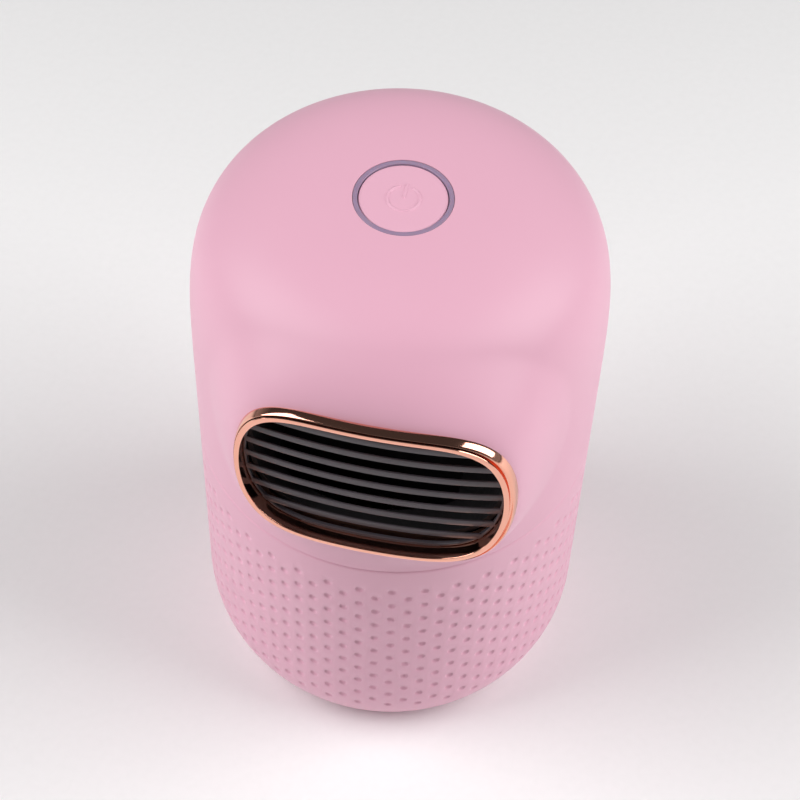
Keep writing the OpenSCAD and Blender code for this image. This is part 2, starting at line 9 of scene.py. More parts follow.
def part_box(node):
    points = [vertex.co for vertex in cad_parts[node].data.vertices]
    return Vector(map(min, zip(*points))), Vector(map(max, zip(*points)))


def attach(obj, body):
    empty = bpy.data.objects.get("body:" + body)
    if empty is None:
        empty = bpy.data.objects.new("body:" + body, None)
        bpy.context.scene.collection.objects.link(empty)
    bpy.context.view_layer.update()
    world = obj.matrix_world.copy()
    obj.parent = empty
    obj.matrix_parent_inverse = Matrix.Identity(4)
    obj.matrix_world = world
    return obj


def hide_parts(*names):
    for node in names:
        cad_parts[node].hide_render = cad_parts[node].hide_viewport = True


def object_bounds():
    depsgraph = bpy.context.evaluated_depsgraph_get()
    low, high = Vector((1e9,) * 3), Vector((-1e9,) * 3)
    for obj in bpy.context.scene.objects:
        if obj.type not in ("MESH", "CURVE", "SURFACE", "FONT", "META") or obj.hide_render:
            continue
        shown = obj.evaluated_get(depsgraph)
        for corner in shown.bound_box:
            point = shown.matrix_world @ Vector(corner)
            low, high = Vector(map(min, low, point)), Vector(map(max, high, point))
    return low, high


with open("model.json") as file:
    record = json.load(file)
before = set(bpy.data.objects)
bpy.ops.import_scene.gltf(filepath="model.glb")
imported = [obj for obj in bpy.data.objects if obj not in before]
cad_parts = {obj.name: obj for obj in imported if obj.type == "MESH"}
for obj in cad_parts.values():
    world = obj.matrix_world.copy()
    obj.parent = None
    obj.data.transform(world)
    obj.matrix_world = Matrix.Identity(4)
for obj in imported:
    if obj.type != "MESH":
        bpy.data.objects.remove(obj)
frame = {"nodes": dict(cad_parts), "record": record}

cad_low, cad_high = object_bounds()
scene = bpy.context.scene
mm = 0.001

# ---------------------------------------------------------------- The table and the light
# The object stands on a plain pale table in a light tent. Two large soft boxes stand left and right
# of it. The tent glows low down and is dark overhead, so that plated edges get a dark line.


def linear(hex_colour):
    """A colour given as sRGB hex, as linear RGBA."""
    channels = [int(hex_colour[i:i + 2], 16) / 255 for i in (1, 3, 5)]
    return (*[c / 12.92 if c <= 0.04045 else ((c + 0.055) / 1.055) ** 2.4 for c in channels], 1.0)


def add_node(tree, kind, inputs=None, **settings):
    """Adds a node with its settings. An input is a value for the socket, a socket to link to it, or a
    node whose first output is linked to it."""
    made = tree.nodes.new(kind)
    for name, value in settings.items():
        setattr(made, name, value)
    for socket, value in (inputs or {}).items():
        if isinstance(value, bpy.types.Node):
            value = value.outputs[0]
        if isinstance(value, bpy.types.NodeSocket):
            tree.links.new(value, made.inputs[socket])
        else:
            made.inputs[socket].default_value = value
    return made


def new_material(name):
    """An empty material and its node tree, ready for a shader."""
    material = bpy.data.materials.new(name)
    material.use_nodes = True
    tree = material.node_tree
    tree.nodes.clear()
    return material, tree


def table_laminate():
    """Matt white melamine table top: a faint fine grain in its colour, no gloss."""
    material, tree = new_material("white_melamine")
    place = add_node(tree, "ShaderNodeTexCoord").outputs["Object"]
    grain = add_node(tree, "ShaderNodeTexNoise", {"Vector": place, "Scale": 1 / (2.5 * mm), "Detail": 2.0})
    tone = add_node(tree, "ShaderNodeMix", {"Factor": grain, "A": linear("#F7F6F6"),
                                            "B": linear("#FCFBFB")}, data_type="RGBA")
    shader = add_node(tree, "ShaderNodeBsdfPrincipled",
                      {"Base Color": tone.outputs["Result"], "Roughness": 0.85})
    add_node(tree, "ShaderNodeOutputMaterial", {"Surface": shader})
    return material


table_half = 1.6
bpy.ops.mesh.primitive_grid_add(x_subdivisions=8, y_subdivisions=8, size=2 * table_half)
table_top = bpy.context.object
table_top.name = "table_top"
table_top.data.materials.append(table_laminate())

# name, place, size in metres, power in watts; each one faces the middle of the object
soft_boxes = [
    ("light_left", (-0.58, -0.20, 0.62), (0.55, 0.80), 5.8),
    ("light_right", (0.64, 0.04, 0.60), (0.55, 0.80), 6.0),
]
middle = (cad_low + cad_high) / 2
for name, place, size, power in soft_boxes:
    box_light = bpy.data.lights.new(name, "AREA")
    box_light.shape = "RECTANGLE"
    box_light.size, box_light.size_y = size
    box_light.energy = power
    holder = bpy.data.objects.new(name, box_light)
    holder.location = place
    holder.rotation_euler = (middle - Vector(place)).to_track_quat("-Z", "Y").to_euler()
    scene.collection.objects.link(holder)

tent_low, tent_high = 0.24, 0.05  # the strength of its glow at the table's level and overhead
tent_fade = 0.45                 # how far up, as the height of a direction, the glow fades
world = bpy.data.worlds.new("light_tent")
world.use_nodes = True
world.node_tree.nodes.clear()
tent_direction = add_node(world.node_tree, "ShaderNodeSeparateXYZ", {
    "Vector": add_node(world.node_tree, "ShaderNodeTexCoord").outputs["Generated"]})
tent_glow = add_node(world.node_tree, "ShaderNodeMapRange", {
    "Value": tent_direction.outputs["Z"], "From Min": 0.0, "From Max": tent_fade,
    "To Min": tent_low, "To Max": tent_high})
tent = add_node(world.node_tree, "ShaderNodeBackground", {
    "Color": linear("#FFFFFF"), "Strength": tent_glow})
add_node(world.node_tree, "ShaderNodeOutputWorld", {"Surface": tent})
scene.world = world
scene.view_settings.view_transform = "Standard"

# The camera looks down at the mouth from high in front, a little to the right
camera_place = Vector((55.5, -313.6, 509.6)) * mm
camera_aim = Vector((1.0, 0.2, 87.4)) * mm
camera_roll = math.radians(2.27)
camera_lens, camera_film = 93.6, 36.0
look = (camera_aim - camera_place).normalized()
side = look.cross(Vector((0, 0, 1))).normalized()
rise = side.cross(look)
turn_side = side * math.cos(camera_roll) + rise * math.sin(camera_roll)
turn_rise = rise * math.cos(camera_roll) - side * math.sin(camera_roll)
camera_data = bpy.data.cameras.new("camera")
camera_data.sensor_width = camera_film
camera_data.lens = camera_lens
camera_data.clip_start = 0.01
camera = bpy.data.objects.new("camera", camera_data)
camera.matrix_world = Matrix.Translation(camera_place) @ Matrix(
    (turn_side, turn_rise, -look)).transposed().to_4x4()
scene.collection.objects.link(camera)
scene.camera = camera

# ---------------------------------------------------------------- Lower casing
# A round ABS moulding with a matt soft-touch coat, turned in at the bottom. Its wall carries rows of
# shallow round dimples, every second column set half a step lower, and it ends in a plain band.
casing_low, casing_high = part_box("lower_casing")
seam_line = 0.01                 # the hairline gap between the casing and the head
body_r = casing_high.x / mm
casing_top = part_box("upper_shell")[0].z / mm - seam_line
casing_bottom = casing_low.z / mm
wall = 2.2
base_round = 33.4                # the turned-in bottom edge: its radius and its middle's height
base_round_z = 23.6
shelf_top = 5.6                  # the floor, with the hole and the seat for the plate under it
floor_hole_r = 31.0
plate_seat_r, plate_seat_z = 37.2, 3.4
foot_r = 40.2
edge_round = 1.1                 # the rounding of the upper edge, which draws the seam
columns = 39                     # columns of each of the two kinds
dimple_rows = 10
row_step = 6.337
first_row_z = 75.4
first_column = math.radians(1.7)  # how far round from the mouth's middle plane a column stands
dimple_r = 1.1
dimple_depth = 0.45
tile_w = math.tau * body_r / (2 * columns)
round_segments = 4 * columns     # two to a column, so that bands and tiles share their edges


def soft_touch_abs(name, tone):
    """Moulded ABS with a soft-touch coat: a broad satin sheen, a very fine spray grain (0.25 mm,
    coarser than the real one so that it shows) and faint clouding in the colour."""
    material, tree = new_material(name)
    place = add_node(tree, "ShaderNodeTexCoord").outputs["Object"]
    cloud = add_node(tree, "ShaderNodeTexNoise", {"Vector": place, "Scale": 1 / (45 * mm), "Detail": 3.0})
    grain = add_node(tree, "ShaderNodeTexNoise", {"Vector": place, "Scale": 1 / (0.25 * mm), "Detail": 2.0})
    light, dark = linear(tone[0]), linear(tone[1])
    colour = add_node(tree, "ShaderNodeMix", {"Factor": cloud, "A": light, "B": dark}, data_type="RGBA")
    rough = add_node(tree, "ShaderNodeMapRange", {"Value": cloud, "To Min": 0.40, "To Max": 0.50})
    bump = add_node(tree, "ShaderNodeBump", {"Height": grain, "Strength": 0.06, "Distance": 0.05 * mm})
    shader = add_node(tree, "ShaderNodeBsdfPrincipled", {
        "Base Color": colour.outputs["Result"], "Roughness": rough, "Normal": bump, "IOR": 1.5,
        "Specular IOR Level": 0.45, "Sheen Weight": 0.08, "Sheen Roughness": 0.6})
    add_node(tree, "ShaderNodeOutputMaterial", {"Surface": shader})
    return material


soft_touch_pink = soft_touch_abs("soft_touch_pink_abs", ("#EDB6CA", "#E9AFC5"))


def make_piece(name, points, faces, material, sharp=40):
    """A mesh piece from points in millimetres, merged, faced outwards and smooth shaded."""
    mesh = bpy.data.meshes.new(name)
    mesh.from_pydata([tuple(p) for p in np.asarray(points, float) * mm], [], faces)
    work = bmesh.new()
    work.from_mesh(mesh)
    bmesh.ops.remove_doubles(work, verts=work.verts, dist=0.01 * mm)
    bmesh.ops.dissolve_degenerate(work, edges=work.edges, dist=0.002 * mm)
    bmesh.ops.recalc_face_normals(work, faces=work.faces)
    work.to_mesh(mesh)
    work.free()
    finish_mesh(mesh, material, sharp)
    piece = bpy.data.objects.new(name, mesh)
    scene.collection.objects.link(piece)
    return piece


def finish_mesh(mesh, material, sharp):
    """Smooth shading that keeps edges over an angle sharp, and the piece's one material."""
    mesh.materials.clear()
    mesh.materials.append(material)
    mesh.polygons.foreach_set("use_smooth", [True] * len(mesh.polygons))
    mesh.polygons.foreach_set("material_index", [0] * len(mesh.polygons))
    mesh.set_sharp_from_angle(angle=math.radians(sharp))
    mesh.update()


def bake_modifiers(piece, material, sharp=40):
    """Turns a piece's modifiers into plain mesh."""
    bpy.context.view_layer.update()
    graph = bpy.context.evaluated_depsgraph_get()
    mesh = bpy.data.meshes.new_from_object(piece.evaluated_get(graph))
    piece.modifiers.clear()
    piece.data = mesh
    finish_mesh(mesh, material, sharp)
    return piece


def turned_faces(section, steps, start=0.0):
    """Points and faces of an open section (r, z) turned about Z, with its first point kept first."""
    section = np.asarray(section, float)
    angle = start + np.arange(steps) * math.tau / steps
    ring = np.stack([np.cos(angle), np.sin(angle)], 1)
    points = [[r * c, r * s, z] for r, z in section for c, s in ring]
    faces = [[k * steps + i, k * steps + (i + 1) % steps, (k + 1) * steps + (i + 1) % steps,
              (k + 1) * steps + i] for k in range(len(section) - 1) for i in range(steps)]
    return points, faces


def quarter(centre_r, centre_z, radius, first, last, steps=4):
    """Points (r, z) of an arc in a section, between two angles in degrees."""
    return [(centre_r + radius * math.cos(a), centre_z + radius * math.sin(a))
            for a in np.radians(np.linspace(first, last, steps + 1))]


def dimple_tile():
    """One dimple and the flat patch round it, with the edge points that its neighbours share."""
    half_w, half_h = tile_w / 2, row_step / 2
    edge = [(half_w, half_h * i / 3) for i in range(-3, 3)] + [(half_w, half_h), (0, half_h)]
    edge += [(-x, -y) for x, y in edge]
    turn = [math.atan2(y, x) for x, y in edge]
    rings = [(0.45, -1.0), (0.8, -0.68), (1.0, -0.1), (1.1, 0.0)]    # shares of radius and depth
    points = [(0, 0, -dimple_depth * 1.12)]
    for share, sink in rings:
        points += [(dimple_r * share * math.cos(a), dimple_r * share * math.sin(a), dimple_depth * sink)
                   for a in turn]
    points += [(x, y, 0) for x, y in edge]
    n = len(edge)
    faces = [(0, 1 + i, 1 + (i + 1) % n) for i in range(n)]
    for k in range(len(rings)):
        a, b = 1 + k * n, 1 + (k + 1) * n
        faces += [(a + i, b + i, b + (i + 1) % n, a + (i + 1) % n) for i in range(n)]
    return points, faces


def plain_tile():
    """Half a tile without a dimple, for the ends of the lowered columns."""
    xs, ys = (-tile_w / 2, 0, tile_w / 2), [row_step / 2 * (i / 3 - 0.5) for i in range(4)]
    points = [(x, y, 0) for y in ys for x in xs]
    faces = [(3 * j + i, 3 * j + i + 1, 3 * j + i + 4, 3 * j + i + 3) for j in range(3) for i in range(2)]
    return points, faces


def loose_mesh(name, points, faces):
    """A helper mesh that a node tree reads; it is deleted once the tree's result is a plain mesh."""
    mesh = bpy.data.meshes.new(name)
    mesh.from_pydata([tuple(c * mm for c in p) for p in points], [], faces)
    helper = bpy.data.objects.new(name, mesh)
    scene.collection.objects.link(helper)
    return helper


def node_tree(name, inputs):
    """A Geometry Nodes tree with named inputs; gives the tree and the sockets of its inputs."""
    tree = bpy.data.node_groups.new(name, "GeometryNodeTree")
    tree.interface.new_socket("Geometry", in_out="OUTPUT", socket_type="NodeSocketGeometry")
    for label, kind in inputs:
        tree.interface.new_socket(label, in_out="INPUT", socket_type="NodeSocket" + kind)
    return tree, tree.nodes.new("NodeGroupInput").outputs


def run_tree(name, tree, values, material, sharp=40):
    """Runs a tree on an empty mesh with its inputs set by identifier, and keeps the plain mesh."""
    piece = bpy.data.objects.new(name, bpy.data.meshes.new(name))
    scene.collection.objects.link(piece)
    modifier = piece.modifiers.new(name, "NODES")
    modifier.node_group = tree
    for item in tree.interface.items_tree:
        if item.in_out == "INPUT" and item.name in values:
            modifier[item.identifier] = values[item.name]
    return bake_modifiers(piece, material, sharp)


def dimpled_wall_tree():
    """Lays the tiles out flat in a grid, then wraps the sheet round the wall and its turned-in foot."""
    tree, put = node_tree("dimpled_wall", [
        ("Dimple", "Object"), ("Plain", "Object"), ("Columns", "Int"), ("Rows", "Int"),
        ("Tile width", "Float"), ("Row step", "Float"), ("First row", "Float"), ("Turn", "Float"),
        ("Body radius", "Float"), ("Foot radius", "Float"), ("Foot height", "Float"),
        ("Material", "Material")])
    spaces = add_node(tree, "ShaderNodeMath", {0: put["Columns"], 1: 1.0}, operation="SUBTRACT")
    two_tiles = add_node(tree, "ShaderNodeMath", {0: put["Tile width"], 1: 2.0}, operation="MULTIPLY")
    width = add_node(tree, "ShaderNodeMath", {0: two_tiles, 1: spaces}, operation="MULTIPLY")
    half_width = add_node(tree, "ShaderNodeMath", {0: width, 1: 2.0}, operation="DIVIDE")

    def laid(tile, across, down, rows, first):
        """A field of one tile: columns two tiles apart, starting across and down from the first."""
        steps = add_node(tree, "ShaderNodeMath", {0: rows, 1: 1.0}, operation="SUBTRACT")
        height = add_node(tree, "ShaderNodeMath", {0: down, 1: steps}, operation="MULTIPLY")
        half_height = add_node(tree, "ShaderNodeMath", {0: height, 1: 2.0}, operation="DIVIDE")
        grid = add_node(tree, "GeometryNodeMeshGrid", {
            "Size X": width, "Size Y": height, "Vertices X": put["Columns"], "Vertices Y": rows})
        shift = add_node(tree, "ShaderNodeCombineXYZ", {
            "X": add_node(tree, "ShaderNodeMath", {0: half_width, 1: across}, operation="ADD"),
            "Y": add_node(tree, "ShaderNodeMath", {0: first, 1: half_height}, operation="SUBTRACT")})
        moved = add_node(tree, "GeometryNodeTransform", {"Geometry": grid, "Translation": shift})
        shape = add_node(tree, "GeometryNodeObjectInfo", {"Object": tile})
        return add_node(tree, "GeometryNodeInstanceOnPoints", {
            "Points": moved, "Instance": shape.outputs["Geometry"]})

    step, first = put["Row step"], put["First row"]
    half_step = add_node(tree, "ShaderNodeMath", {0: step, 1: 2.0}, operation="DIVIDE")
    quarter_step = add_node(tree, "ShaderNodeMath", {0: step, 1: 4.0}, operation="DIVIDE")
    lowered = add_node(tree, "ShaderNodeMath", {0: first, 1: half_step}, operation="SUBTRACT")
    upper_end = add_node(tree, "ShaderNodeMath", {0: first, 1: quarter_step}, operation="ADD")
    fewer_rows = add_node(tree, "ShaderNodeMath", {0: put["Rows"], 1: 1.0}, operation="SUBTRACT")
    end_rows = add_node(tree, "ShaderNodeMath", {0: put["Rows"], 1: 0.5}, operation="SUBTRACT")
    ends_apart = add_node(tree, "ShaderNodeMath", {0: step, 1: end_rows}, operation="MULTIPLY")
    fields = [laid(put["Dimple"], 0.0, step, put["Rows"], first),
              laid(put["Dimple"], put["Tile width"], step, fewer_rows, lowered),
              laid(put["Plain"], put["Tile width"], ends_apart, 2, upper_end)]
    sheet = add_node(tree, "GeometryNodeJoinGeometry")
    for field in fields:
        tree.links.new(field.outputs["Instances"], sheet.inputs[0])
    real = add_node(tree, "GeometryNodeRealizeInstances", {"Geometry": sheet})
    flat = add_node(tree, "ShaderNodeSeparateXYZ", {
        "Vector": add_node(tree, "GeometryNodeInputPosition")}).outputs
    along = add_node(tree, "ShaderNodeMath", {0: flat["X"], 1: put["Body radius"]}, operation="DIVIDE")
    turn = add_node(tree, "ShaderNodeMath", {0: along, 1: put["Turn"]}, operation="ADD")
    drop = add_node(tree, "ShaderNodeMath", {0: put["Foot height"], 1: flat["Y"]}, operation="SUBTRACT")
    below = add_node(tree, "ShaderNodeMath", {0: drop, 1: 0.0}, operation="MAXIMUM")
    bend = add_node(tree, "ShaderNodeMath", {0: below, 1: put["Foot radius"]}, operation="DIVIDE")
    reach = add_node(tree, "ShaderNodeMath", {0: put["Foot radius"], 1: flat["Z"]}, operation="ADD")
    centre_r = add_node(tree, "ShaderNodeMath", {0: put["Body radius"], 1: put["Foot radius"]},
                        operation="SUBTRACT")
    outward = add_node(tree, "ShaderNodeMath", {0: bend}, operation="COSINE")
    radius = add_node(tree, "ShaderNodeMath", {0: reach, 1: outward, 2: centre_r},
                      operation="MULTIPLY_ADD")
    downward = add_node(tree, "ShaderNodeMath", {0: bend}, operation="SINE")
    sunk = add_node(tree, "ShaderNodeMath", {0: reach, 1: downward}, operation="MULTIPLY")
    level = add_node(tree, "ShaderNodeMath", {0: flat["Y"], 1: put["Foot height"]}, operation="MAXIMUM")
    cosine = add_node(tree, "ShaderNodeMath", {0: turn}, operation="COSINE")
    sine = add_node(tree, "ShaderNodeMath", {0: turn}, operation="SINE")
    spot = add_node(tree, "ShaderNodeCombineXYZ", {
        "X": add_node(tree, "ShaderNodeMath", {0: radius, 1: cosine}, operation="MULTIPLY"),
        "Y": add_node(tree, "ShaderNodeMath", {0: radius, 1: sine}, operation="MULTIPLY"),
        "Z": add_node(tree, "ShaderNodeMath", {0: level, 1: sunk}, operation="SUBTRACT")})
    wrapped = add_node(tree, "GeometryNodeSetPosition", {"Geometry": real, "Position": spot})
    joined = add_node(tree, "GeometryNodeMergeByDistance", {"Geometry": wrapped, "Distance": 0.02 * mm})
    painted = add_node(tree, "GeometryNodeSetMaterial", {"Geometry": joined, "Material": put["Material"]})
    add_node(tree, "NodeGroupOutput", {0: painted})
    return tree


tile = loose_mesh("dimple_tile", *dimple_tile())
blank = loose_mesh("plain_tile", *plain_tile())
skin = run_tree("dimpled_wall", dimpled_wall_tree(), {
    "Dimple": tile, "Plain": blank, "Columns": columns, "Rows": dimple_rows,
    "Tile width": tile_w * mm, "Row step": row_step * mm, "First row": first_row_z * mm,
    "Turn": first_column - math.pi / 2,
    "Body radius": body_r * mm, "Foot radius": base_round * mm, "Foot height": base_round_z * mm,
    "Material": soft_touch_pink}, soft_touch_pink)

dimples_top = first_row_z + row_step / 2
dimples_bottom = dimples_top - dimple_rows * row_step


def base_arc(inset, low_z, steps=10, high_bend=0.0):
    """The turned-in bottom edge as (r, z), from the height low_z up to the angle high_bend."""
    radius = base_round - inset
    low_bend = math.asin((base_round_z - low_z) / radius)
    return [(body_r - base_round + radius * math.cos(a), base_round_z - radius * math.sin(a))
            for a in np.linspace(low_bend, high_bend, steps + 1)]


def lower_casing_rest():
    """The section of all but the dimpled skin: plain band, rim, inside, floor and foot."""
    skin_bend = (base_round_z - dimples_bottom) / base_round
    inner_r = body_r - wall
    section = [(body_r, dimples_top), (body_r, dimples_top + 2), (body_r, casing_top - edge_round - 0.6)]
    section += quarter(body_r - edge_round, casing_top - edge_round, edge_round, 0, 90)
    section += [(inner_r + 0.3, casing_top), (inner_r, casing_top - 0.3), (inner_r, casing_top - 1)]
    section += [(inner_r, z) for z in (60, 40)] + base_arc(wall, shelf_top)[::-1]
    section += [(floor_hole_r, shelf_top), (floor_hole_r, plate_seat_z), (plate_seat_r, plate_seat_z),
                (plate_seat_r, casing_bottom + 0.3), (plate_seat_r + 0.3, casing_bottom),
                (foot_r, casing_bottom)]
    section += base_arc(0, casing_bottom + 0.5, 12, skin_bend)
    return section


def close_lower_casing():
    """Joins the dimpled skin to the turned rest of the moulding, point to point."""
    points, faces = turned_faces(lower_casing_rest(), round_segments,
                                 first_column - math.pi / 2)
    wall_points = np.empty(len(skin.data.vertices) * 3)
    skin.data.vertices.foreach_get("co", wall_points)
    wall_points = wall_points.reshape(-1, 3) / mm
    first = len(points)
    faces += [[first + v for v in face.vertices] for face in skin.data.polygons]
    return make_piece("lower_casing_skin", np.concatenate([points, wall_points]), faces,
                      soft_touch_pink)


lower_casing = close_lower_casing()
for helper in (tile, blank, skin):
    bpy.data.objects.remove(helper)


def carry(piece, body, slot, *nodes):
    """The piece moves with its body and stands for its CAD nodes. The slot is not used."""
    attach(piece, body)
    if nodes:
        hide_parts(*nodes)
    return piece


carry(lower_casing, "lower_casing", "soft_touch_pink", "lower_casing")

# ---------------------------------------------------------------- Upper shell
# One ABS moulding with the same coat as the lower casing: a round dome that swells out at the front
# into a hood round the mouth. Slots at the back let the air out, and the opening for the charging
# plug is above them.
head_low, head_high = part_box("upper_shell")
shell_bottom = head_low.z / mm
dome_top = head_high.z / mm
dome_across, dome_down = 3.69, 7.67      # squareness of the dome's section, sideways and upwards
ring_r = 11.5                            # the light ring's outside
mouth_w, mouth_h = 62.8, 45.2
mouth_flat, mouth_round = 5.2, 2.05      # squareness of the long sides and of the ends
mouth_x, mouth_z = 3.7, 121.0
face_y, face_r = 53.4, 156.0             # how far in front the lip stands, and the radius of its bow
rim_out_x, rim_out_z, rim_shift, rim_depth = 1.5, 1.5, 0.6, 2.5
spread_side, spread_top, spread_foot = 15.0, 15.0, 11.0  # how far from the rim the hood fades out
hood_top_r = 34.0                        # the hood's patch ends at this radius on the dome
slot_count, slot_step, slot_z = 11, math.radians(5.4), 101.5
slot_half_w, slot_half_h = 1.1, 10.6
port_half_w, port_half_h = 4.7, 1.8      # the opening for the charging plug
tool_in, tool_long = 5, 8                # where a cutting tool starts inside the wall, and its length


def dome_radius(z):
    """The dome's radius at a height."""
    up = np.clip((np.asarray(z, float) - shell_bottom) / (dome_top - shell_bottom), 0, 1)
    return body_r * (1 - up ** dome_down) ** (1 / dome_across)


bends = np.linspace(0, math.pi / 2, 1500)
section_r = body_r * np.cos(bends) ** (2 / dome_across)
section_z = shell_bottom + (dome_top - shell_bottom) * np.sin(bends) ** (2 / dome_down)
section_run = np.concatenate([[0], np.cumsum(np.hypot(np.diff(section_r), np.diff(section_z)))])


def dome_point(along, run):
    """Points on the dome: along is the arc round the casing in mm, run the length up its section."""
    r, z = np.interp(run, section_run, section_r), np.interp(run, section_run, section_z)
    turn = np.asarray(along) / body_r
    return np.stack([r * np.sin(turn), -r * np.cos(turn), z], -1)


def mouth_reach(direction, a, b):
    """How far the mouth's outline, of half-width a and half-height b, lies from its centre."""
    c, s = np.abs(np.cos(direction)), np.abs(np.sin(direction))
    near, far = np.zeros_like(c), np.full_like(c, 2 * a)
    for _ in range(40):
        half = (near + far) / 2
        inside = (half * c / a) ** mouth_flat + (half * s / b) ** mouth_round < 1
        near, far = np.where(inside, half, near), np.where(inside, far, half)
    return near


def mouth_outline(direction, grow, rim=0.0):
    """X and Z of the mouth's outline, grown, in a direction from its centre. The share rim leads it
    over to the outline of the trim's rim, which stands out further on the right."""
    spots = []
    for out_x, out_z, shift in ((grow, grow, 0), (rim_out_x, rim_out_z, rim_shift)):
        far = mouth_reach(direction, mouth_w / 2 + out_x, mouth_h / 2 + out_z)
        spots.append(np.array([mouth_x + shift + far * np.cos(direction),
                               mouth_z + far * np.sin(direction)]))
    return spots[0] * (1 - rim) + spots[1] * rim


def bowed_face(x, depth):
    """Y of the mouth's bowed face at X, at a depth behind the lip."""
    return face_r - face_y - np.sqrt((face_r - depth) ** 2 - (np.asarray(x) - mouth_x) ** 2)


def hood_patch(across, up, rings, top_run):
    """The dome's front half: rings of points from the hood's rim out to a frame round the front."""
    side_run = np.linspace(0, top_run, up + 1)
    arc = np.linspace(-math.pi / 2, math.pi / 2, across + 1) * body_r
    frame_along = np.concatenate([arc[:-1], np.full(up, arc[-1]), arc[:0:-1], np.full(up, arc[0])])
    frame_run = np.concatenate([np.zeros(across), side_run[:-1], np.full(across, top_run),
                                side_run[:0:-1]])
    centre_run = np.interp(mouth_z, section_z, section_run)
    direction = np.arctan2(frame_run - centre_run, frame_along - mouth_x)
    x, rim_z = mouth_outline(direction, 0, 1.0)
    rim_r = dome_radius(rim_z)
    rim_along = np.arcsin(x / rim_r) * body_r
    rim_run = np.interp(rim_z, section_z, section_run)
    push = -np.sqrt(rim_r ** 2 - x ** 2) - bowed_face(x, rim_depth)
    spread = np.hypot(spread_side * np.cos(direction),
                      np.where(rim_z > mouth_z, spread_top, spread_foot) * np.sin(direction))
    shares = np.linspace(0, 1, rings + 1) ** 1.35    # rings closer together near the rim
    points = []
    for share in shares:
        along = rim_along + share * (frame_along - rim_along)
        run = rim_run + share * (frame_run - rim_run)
        away = np.hypot(along - rim_along, run - rim_run)
        fade = np.minimum(away / spread, 1)
        swell = (1 - fade) ** 2 * (1 + 2 * fade)
        spot = dome_point(along, run)
        spot[:, 1] -= push * swell
        points.append(spot)
    n = len(direction)
    faces = [[k * n + i, (k + 1) * n + i, (k + 1) * n + (i + 1) % n, k * n + (i + 1) % n]
             for k in range(rings) for i in range(n)]
    return np.concatenate(points), faces, side_run


def grid_patch(turns, runs):
    """A plain patch of the dome between two turns round it, as a grid."""
    points = np.concatenate([dome_point(turns * body_r, np.full(len(turns), run)) for run in runs])
    n = len(turns)
    faces = [[k * n + i, k * n + i + 1, (k + 1) * n + i + 1, (k + 1) * n + i]
             for k in range(len(runs) - 1) for i in range(n - 1)]
    return points, faces


def join_patches(patches):
    """Several sets of points and faces as one."""
    points, faces, first = [], [], 0
    for some_points, some_faces in patches:
        points.append(some_points)
        faces += [[first + v for v in face] for face in some_faces]
        first += len(some_points)
    return np.concatenate(points), faces


def stadium_bar(half_width, half_height, depth, steps=12):
    """A bar with a round-ended outline, standing up, from Y = 0 back to Y = depth."""
    r = half_width
    turn = np.linspace(0, math.pi, steps + 1)
    upper = [(r * math.cos(a), half_height - r + r * math.sin(a)) for a in turn]
    outline = upper + [(-x, -z) for x, z in upper]
    n = len(outline)
    points = [(x, y, z) for y in (0, depth) for x, z in outline]
    faces = [[i, (i + 1) % n, n + (i + 1) % n, n + i] for i in range(n)]
    return points, faces + [list(range(n))[::-1], list(range(n, 2 * n))]


def ring_of_tools_tree():
    """Copies of one tool round the axis: a given count, a step apart, at a radius and a height."""
    tree, put = node_tree("ring_of_tools", [
        ("Tool", "Object"), ("Count", "Int"), ("Step", "Float"), ("Middle turn", "Float"),
        ("Radius", "Float"), ("Height", "Float"), ("Material", "Material")])
    row = add_node(tree, "GeometryNodeMeshLine", {"Count": put["Count"]}, mode="OFFSET")
    spaces = add_node(tree, "ShaderNodeMath", {0: put["Count"], 1: 1.0}, operation="SUBTRACT")
    half = add_node(tree, "ShaderNodeMath", {0: spaces, 1: 2.0}, operation="DIVIDE")
    index = add_node(tree, "GeometryNodeInputIndex")
    from_middle = add_node(tree, "ShaderNodeMath", {0: index, 1: half}, operation="SUBTRACT")
    turn = add_node(tree, "ShaderNodeMath", {0: from_middle, 1: put["Step"], 2: put["Middle turn"]},
                    operation="MULTIPLY_ADD")
    cosine = add_node(tree, "ShaderNodeMath", {0: turn}, operation="COSINE")
    sine = add_node(tree, "ShaderNodeMath", {0: turn}, operation="SINE")
    spot = add_node(tree, "ShaderNodeCombineXYZ", {
        "X": add_node(tree, "ShaderNodeMath", {0: put["Radius"], 1: cosine}, operation="MULTIPLY"),
        "Y": add_node(tree, "ShaderNodeMath", {0: put["Radius"], 1: sine}, operation="MULTIPLY"),
        "Z": put["Height"]})
    placed = add_node(tree, "GeometryNodeSetPosition", {"Geometry": row, "Position": spot})
    facing = add_node(tree, "ShaderNodeCombineXYZ", {
        "Z": add_node(tree, "ShaderNodeMath", {0: turn, 1: math.pi / 2}, operation="SUBTRACT")})
    shape = add_node(tree, "GeometryNodeObjectInfo", {"Object": put["Tool"]})
    copies = add_node(tree, "GeometryNodeInstanceOnPoints", {
        "Points": placed, "Instance": shape.outputs["Geometry"], "Rotation": facing})
    real = add_node(tree, "GeometryNodeRealizeInstances", {"Geometry": copies})
    painted = add_node(tree, "GeometryNodeSetMaterial", {"Geometry": real, "Material": put["Material"]})
    add_node(tree, "NodeGroupOutput", {0: painted})
    return tree


def cut(piece, tool):
    """Cuts a tool out of a piece."""
    modifier = piece.modifiers.new("cut", "BOOLEAN")
    modifier.operation = "DIFFERENCE"
    modifier.solver = "MANIFOLD"
    modifier.object = tool
    bake_modifiers(piece, soft_touch_pink)
    bpy.data.objects.remove(tool)


socket_low, socket_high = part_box("charging_socket")
socket_z = (socket_low.z + socket_high.z) / 2 / mm


